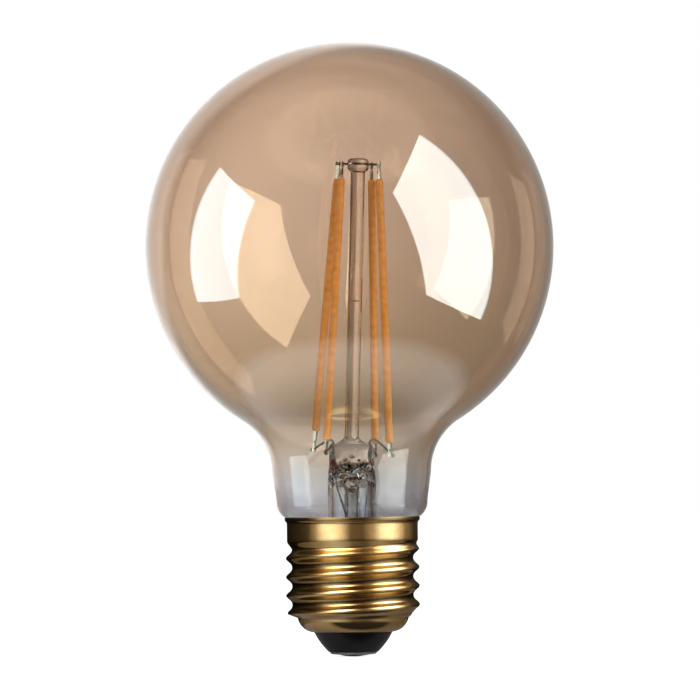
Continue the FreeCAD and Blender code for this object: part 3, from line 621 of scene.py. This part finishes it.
def shell_side(inset):
    """One face of the sheet from the mouth to the rim, set in by the sheet's thickness."""
    side = arc(bowl_mid, bowl_bend - inset, bowl_from, bowl_to, 12)
    steps = 150
    for i in range(steps + 1):
        z = bowl_z + (thread_top - bowl_z) * i / steps
        low, high = min(1, (z - bowl_z) / thread_foot), min(1, (thread_top - z) / (pitch / 2))
        r = mid_r + (thread_foot_r - mid_r) * (1 - low) ** 2.1 + (skirt - mid_r) * (1 - high) ** 1.5
        side.append((r - inset, z))
    side += [(skirt - inset, z) for z in (23.2, 24.2, 25.2, 25.7)]
    return side + [(skirt + 0.04 - inset, 26.15), (rim - 0.14 - inset, 26.35), (rim - inset, 26.55),
                   (rim - inset, cap_top - 0.06)]


lip = [(rim, cap_top + 0.02), (rim - 0.04, cap_top + 0.09), (rim - 0.12, cap_top + 0.03),
       (rim - 0.2, cap_top - 0.04)]
cup = lathe("rolled_shell", shell_side(0) + lip + shell_side(sheet)[::-1], 240)
shell = made_by(cup, roll_tree, Pitch=pitch * MM, Depth=thread_depth * MM, Start_Angle=math.radians(start),
                Lower_Level=bowl_z * MM, Upper_Level=thread_top * MM, Lower_Fade=0.7 * MM,
                Upper_Fade=pitch / 2 * MM, Material=brass)
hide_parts("screw_shell")
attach(shell, "root")

# Insulator, contact and solder.
# Black glass poured into the mouth of the shell holds the contact plate; its eyelet is
# filled from below with solder, which sets in a low dome and grips the live wire.
tip_r, cone_spread, cone_low, cone_rise = 5.08, 2.52, 1.15, 3.55
cone = lathe("black_glass", [(1.7, 0.95), (4.7, 0.9), (4.95, 0.98), (tip_r, cone_low)] + [
    (tip_r + cone_spread * t + 0.25 * math.sin(math.pi * t), cone_low + cone_rise * t)
    for t in (0.1, 0.25, 0.4, 0.55, 0.7, 0.85, 0.95)] + [
    (7.63, 4.72), (7.64, 4.95), (8.3, 5.3), (9.1, 5.9), (9.4, 6.3), (9.2, 6.55), (8.8, 6.6), (1.7, 6.6)])
black, tree, shader = finish("black_moulded_glass", Specular_IOR_Level=0.35)
cloud = add_node(tree, "ShaderNodeTexNoise", {
    "Vector": on_piece(tree), "Scale": 260.0, "Detail": 4.0}).outputs["Fac"]
tone = ramp(tree, cloud, (0.3, (0.002, 0.002, 0.0022)), (0.7, (0.006, 0.0055, 0.006)))
tree.links.new(tone, shader.inputs["Base Color"])
tree.links.new(spread(tree, cloud, 0.0, 1.0, 0.06, 0.24), shader.inputs["Roughness"])
relief(tree, shader, cloud, 0.25, 0.0002)
cone.data.materials.append(black)

plate = lathe("contact_plate", [(1.1, 0.5), (4.2, 0.5)] + arc((4.2, 0.9), 0.4, -80, 0, 5) + [
    (4.55, 0.9), (1.7, 0.9), (1.7, 7.0), (1.1, 7.0)], 96)
plate.data.materials.append(
    metal("contact_brass", (0.56, 0.54, 0.51), (0.40, 0.38, 0.36), 500.0, 0.2, 0.45)[0])

dome_z, solder_r = 0.5, 3.7
bend = (solder_r ** 2 + dome_z ** 2) / (2 * dome_z)
solder = lathe("solder_dome", [(0, 0)] + [
    (solder_r * t, bend - math.sqrt(bend ** 2 - (solder_r * t) ** 2))
    for t in (0.1, 0.2, 0.35, 0.5, 0.65, 0.8, 0.92, 1.0)] + [(1.1, dome_z), (1.1, 6.6), (0, 6.6)], 96)
# The dome sets a little uneven.
for vertex in solder.data.vertices:
    r = math.hypot(vertex.co.x, vertex.co.y) / MM
    if 0.3 < r < 3.6 and vertex.co.z < 0.51 * MM:
        turn = math.atan2(vertex.co.y, vertex.co.x)
        vertex.co.z += 0.05 * MM * (1 + math.sin(3 * turn + 1) * math.sin(1.4 * r)) * min(1, r / 2)
solder.data.materials.append(
    metal("soft_solder", (0.66, 0.66, 0.67), (0.40, 0.40, 0.41), 420.0, 0.22, 0.5, 0.00008)[0])
for piece, node in ((cone, "insulator"), (plate, "centre_contact"), (solder, "contact_solder")):
    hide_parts(node)
    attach(piece, "root")

# Cement and driver.
# Hard baked cement fills the gap between neck and shell. The small board in the cap
# carries a rectifier, a driver chip, a capacitor and a choke; a lacquered fuse resistor
# feeds it from the live wire.


def dressed(node, material):
    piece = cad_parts[node]
    piece.data.materials.clear()
    piece.data.materials.append(material)


def mottled(name, light, dark, scale, roughness, bump=0.00005):
    """A dull solid with a fine cloud of two tones and a matching grain."""
    material, tree, shader = finish(name, Roughness=roughness)
    cloud = add_node(tree, "ShaderNodeTexNoise", {"Vector": on_piece(tree), "Scale": scale, "Detail": 6.0})
    tree.links.new(ramp(tree, cloud.outputs["Fac"], (0.3, dark), (0.7, light)), shader.inputs["Base Color"])
    relief(tree, shader, cloud.outputs["Fac"], 0.4, bump)
    return material


dressed("capping_cement",
        mottled("baked_cement", (0.62, 0.54, 0.42), (0.40, 0.33, 0.25), 500.0, 0.85, 0.0002))
dressed("driver_board", mottled("green_board", (0.05, 0.20, 0.09), (0.03, 0.13, 0.06), 900.0, 0.35))
epoxy = mottled("black_epoxy", (0.035, 0.035, 0.037), (0.018, 0.018, 0.019), 1500.0, 0.5)
dressed("bridge_rectifier", epoxy)
dressed("driver_chip", epoxy)
dressed("capacitor", metal("capacitor_can", (0.72, 0.72, 0.73), (0.52, 0.52, 0.53), 300.0, 0.25, 0.45)[0])
dressed("choke", mottled("dark_ferrite", (0.09, 0.085, 0.08), (0.045, 0.042, 0.04), 1200.0, 0.7))
dressed("fuse_resistor", mottled("green_lacquer", (0.20, 0.34, 0.22), (0.14, 0.25, 0.16), 600.0, 0.3))
dressed("live_wire", nickel)
dressed("neutral_wire", nickel)

# Studio.
# A pale floor, a tall soft panel at each side, a ring and a lid of card round the cap, and
# a pool of light on the surround behind, seen by a long lens from a little above the cap.


def straight_through(tree):
    """One for light that came through glass without a mirroring on its way."""
    path = add_node(tree, "ShaderNodeLightPath").outputs
    unmirrored = calc(tree, "SUBTRACT", 1.0, calc(tree, "MINIMUM", path["Glossy Depth"], 1.0))
    return calc(tree, "MULTIPLY", path["Is Transmission Ray"], unmirrored)


def lit_card(name, verts, faces, light_of):
    """A card that only glass and metal meet; light_of gives the surface of its material."""
    glow = bpy.data.materials.new(name)
    glow.use_nodes = True
    glow.node_tree.nodes.clear()
    add_node(glow.node_tree, "ShaderNodeOutputMaterial", {"Surface": light_of(glow.node_tree)})
    mesh = bpy.data.meshes.new(name)
    mesh.from_pydata(verts, [], faces)
    mesh.materials.append(glow)
    card = bpy.data.objects.new(name, mesh)
    bpy.context.scene.collection.objects.link(card)
    card.visible_diffuse = False
    card.visible_camera = False
    card.visible_shadow = False


def nothing(tree):
    return add_node(tree, "ShaderNodeBsdfTransparent").outputs[0]


def soft_panel(name, centre, across, up, colour, power):
    """A flat panel that shows in the glass as a reflection only."""
    centre, across, up = Vector(centre), Vector(across) / 2, Vector(up) / 2

    def light_of(tree):
        light = add_node(tree, "ShaderNodeEmission", {"Color": (*colour, 1), "Strength": power})
        return either(tree, straight_through(tree), light.outputs[0], nothing(tree))

    corners = [centre - across - up, centre + across - up, centre + across + up, centre - across + up]
    lit_card(name, corners, [(0, 1, 2, 3)], light_of)


soft_panel("right_softbox", (0.621, -0.499, 0.121), (0.055, -0.788, -0.156), (-0.320, -0.291, 1.087),
           (0.74, 0.92, 1.0), 3.8)
soft_panel("left_softbox", (-0.912, -0.186, 0.100), (-0.008, -0.577, -0.157), (0.168, -0.234, 0.850),
           (0.60, 0.84, 1.0), 3.4)

# The ring and the lid give the brushed brass its two bright bands; the clear glass, which
# mirrors sharply, does not meet them. Their light is cooler where it is brighter.
cool, warm = Vector((0.78, 0.92, 1.0)), Vector((1.0, 0.8, 0.6))


def bearing_ramp(tree, x, y, levels):
    """Light by the bearing from the front, in degrees."""
    bearing = calc(tree, "ARCTAN2", x, calc(tree, "MULTIPLY", y, -1.0))
    return ramp(tree, spread(tree, bearing, -math.pi, math.pi),
                *[(0.5 + degrees / 360, warm.lerp(cool, level) * level) for degrees, level in levels])


def banded_card(name, loops, levels, power):
    """A turned card between two (radius, height) loops, lit by the bearing."""
    around = 96
    turns = [2 * math.pi * i / around for i in range(around)]
    verts = [(r * MM * math.cos(t), r * MM * math.sin(t), z * MM) for r, z in loops for t in turns]
    faces = [(i, (i + 1) % around, around + (i + 1) % around, around + i) for i in range(around)]

    def light_of(tree):
        x, y, z = axes(tree, on_piece(tree))
        lift = ramp(tree, calc(tree, "MULTIPLY", z, 20.0), (0.08, (0.05,) * 3), (0.34, (0.45,) * 3),
                    (0.5, (0.62,) * 3), (0.7, (1.0,) * 3))
        light = add_node(tree, "ShaderNodeEmission", {"Color": bearing_ramp(tree, x, y, levels),
                                                      "Strength": calc(tree, "MULTIPLY", lift, power)})
        path = add_node(tree, "ShaderNodeLightPath").outputs
        brushed = calc(tree, "SUBTRACT", path["Is Glossy Ray"], path["Is Singular Ray"])
        return either(tree, brushed, nothing(tree), light.outputs[0])

    lit_card(name, verts, faces, light_of)


banded_card("cap_ring", ((43, 0.5), (43, 36)), (
    (-139, 0.004), (-100, 0.012), (-72, 0.03), (-58, 0.22), (-46, 0.82), (-30, 0.98), (-17, 0.6),
    (-4, 0.08), (16, 0.06), (33, 0.28), (46, 0.85), (64, 0.98), (78, 0.55), (92, 0.13), (120, 0.02)), 4.2)
banded_card("cap_lid", ((43, 36), (15.9, 36)), (
    (-84, 0.01), (-64, 0.04), (-52, 0.2), (-42, 0.7), (-28, 1.0), (-10, 0.7), (3, 0.12), (15, 0.03),
    (31, 0.06), (43, 0.5), (58, 1.0), (80, 1.0), (94, 0.4), (112, 0.03)), 7.5)

for name, place in (("right_lamp", (0.6, -0.45, 0.2)), ("left_lamp", (-0.9, -0.4, 0.2))):
    lamp = bpy.data.lights.new(name, "AREA")
    lamp.shape, lamp.size, lamp.size_y, lamp.energy = "RECTANGLE", 0.8, 1.1, 9
    holder = bpy.data.objects.new(name, lamp)
    bpy.context.scene.collection.objects.link(holder)
    holder.location = place
    holder.rotation_mode = "QUATERNION"
    holder.rotation_quaternion = (Vector((0, 0, 0.08)) - Vector(place)).to_track_quat("-Z", "Y")
    holder.visible_glossy = False
    holder.visible_transmission = False
    holder.visible_camera = False

floor_mesh = bpy.data.meshes.new("floor")
floor_mesh.from_pydata([(-4, -4, 0), (4, -4, 0), (4, 4, 0), (-4, 4, 0)], [], [(0, 1, 2, 3)])
floor = bpy.data.objects.new("floor", floor_mesh)
bpy.context.scene.collection.objects.link(floor)
pale, tree, shader = finish("pale_floor", Roughness=0.9, Emission_Color=(1, 1, 1, 1))
path = add_node(tree, "ShaderNodeLightPath").outputs
tree.links.new(calc(tree, "MULTIPLY", path["Is Camera Ray"], 0.8), shader.inputs["Emission Strength"])
mirrored = calc(tree, "MAXIMUM", path["Is Glossy Ray"], path["Is Transmission Ray"])
spot = on_piece(tree)
x, y, z = axes(tree, spot)
reach = add_node(tree, "ShaderNodeVectorMath", {0: spot}, operation="LENGTH").outputs["Value"]
# What the brass mirrors: a painted shadow, a dark spot under the bowl, on a floor painted lighter to the left
# and darker to the right; further out, painted bands of light by the bearing.
under = add_node(tree, "ShaderNodeMapping", {
    "Vector": spot, "Location": (0.0031, -0.0150, 0.0), "Rotation": (0.0, 0.0, math.radians(17)),
    "Scale": (0.0190, 0.0080, 1.0)}, vector_type="TEXTURE")
under = add_node(tree, "ShaderNodeVectorMath", {0: under.outputs[0]}, operation="LENGTH").outputs["Value"]
under = ramp(tree, calc(tree, "MULTIPLY", under, 0.5), (0.38, (0.02,) * 3), (0.54, (1.0,) * 3))
across = ramp(tree, spread(tree, x, -0.02, 0.02), (0.0, (0.56, 0.56, 0.62)), (0.5, (0.42, 0.41, 0.42)),
              (1.0, (0.2, 0.18, 0.16)))
bands = bearing_ramp(tree, x, y, (
    (-130, 0.15), (-90, 0.28), (-64, 0.5), (-46, 0.85), (-30, 1.0), (-14, 0.7), (0, 0.2), (25, 0.13),
    (38, 0.38), (50, 0.52), (64, 0.42), (80, 0.3), (110, 0.2)))
ground = blended(tree, 1.0, across, under, "MULTIPLY")
ground = blended(tree, spread(tree, reach, 0.018, 0.0215), ground, bands)
# What the clear glass mirrors: a floor with painted shade round the cap.
far = ramp(tree, calc(tree, "MULTIPLY", reach, 10.0), (0.20, (0.04,) * 3), (0.48, (0.62, 0.66, 0.70)))
ground = blended(tree, path["Is Singular Ray"], ground, far)
tree.links.new(blended(tree, mirrored, (0.8, 0.8, 0.8, 1), ground), shader.inputs["Base Color"])
beyond = calc(tree, "MULTIPLY", mirrored, spread(tree, reach, 0.062, 0.08))
tree.links.new(either(tree, beyond, shader.outputs[0], nothing(tree)),
               tree.nodes["Material Output"].inputs["Surface"])
floor_mesh.materials.append(pale)

world = bpy.data.worlds.new("studio")
bpy.context.scene.world = world
world.use_nodes = True
tree = world.node_tree
tree.nodes.clear()
path = add_node(tree, "ShaderNodeLightPath").outputs
way = add_node(tree, "ShaderNodeTexCoord").outputs["Generated"]


def towards(tree, direction):
    """How far the look goes a way: one is straight along it."""
    return add_node(tree, "ShaderNodeVectorMath", {0: way, 1: direction},
                    operation="DOT_PRODUCT").outputs["Value"]


greys = ((0.25, (0.12, 0.10, 0.09)), (0.55, (0.22, 0.19, 0.17)), (0.80, (0.42, 0.39, 0.36)),
         (0.853, (0.50, 0.49, 0.48)), (0.905, (1.0, 1.0, 1.0)))
pool = ramp(tree, towards(tree, (-0.42, 0.857, 0.30)), *greys)
edge = ramp(tree, towards(tree, (0.42, 0.857, -0.30)), (0.05, (0.08, 0.06, 0.05)), (0.25, (0.60, 0.51, 0.44)),
            (0.6, (0.74, 0.66, 0.60)), (0.8, (1.0, 1.0, 1.0)))
pool = blended(tree, 1.0, pool, edge, "MULTIPLY")
# Seen straight through the lamp from its sides or back, the surround is as pale as in front.
x, y, z = axes(tree, way)
ahead = calc(tree, "ABSOLUTE", calc(tree, "MULTIPLY_ADD", x, -0.42, calc(tree, "MULTIPLY", y, 0.857)))
aside = calc(tree, "ABSOLUTE", calc(tree, "MULTIPLY_ADD", x, 0.857, calc(tree, "MULTIPLY", y, 0.42)))
nearest = calc(tree, "MULTIPLY_ADD", z, 0.3, calc(tree, "MAXIMUM", ahead, aside))
behind = calc(tree, "MULTIPLY", spread(tree, y, 0.3, 0.15), straight_through(tree))
pool = blended(tree, behind, pool, ramp(tree, nearest, *greys))
mirrored = calc(tree, "MAXIMUM", path["Is Glossy Ray"], path["Is Transmission Ray"])
seen = blended(tree, mirrored, (0.4, 0.4, 0.4, 1), pool)
seen = blended(tree, path["Is Camera Ray"], seen, (1, 1, 1, 1))
sky = add_node(tree, "ShaderNodeBackground", {"Color": seen, "Strength": 1.0})
add_node(tree, "ShaderNodeOutputWorld", {"Surface": sky.outputs[0]})

camera = bpy.data.cameras.new("camera")
camera.lens = 2900 / 700 * camera.sensor_width
eye = bpy.data.objects.new("camera", camera)
bpy.context.scene.collection.objects.link(eye)
tilt, roll = 0.0543, -0.01024
eye.matrix_world = (Matrix.Translation((-0.0001, -0.5677, 0.02895))
                    @ Matrix.Rotation(math.pi / 2 + tilt, 4, "X") @ Matrix.Rotation(roll, 4, "Z"))
bpy.context.scene.camera = eye
bpy.context.scene.view_settings.view_transform = "Standard"
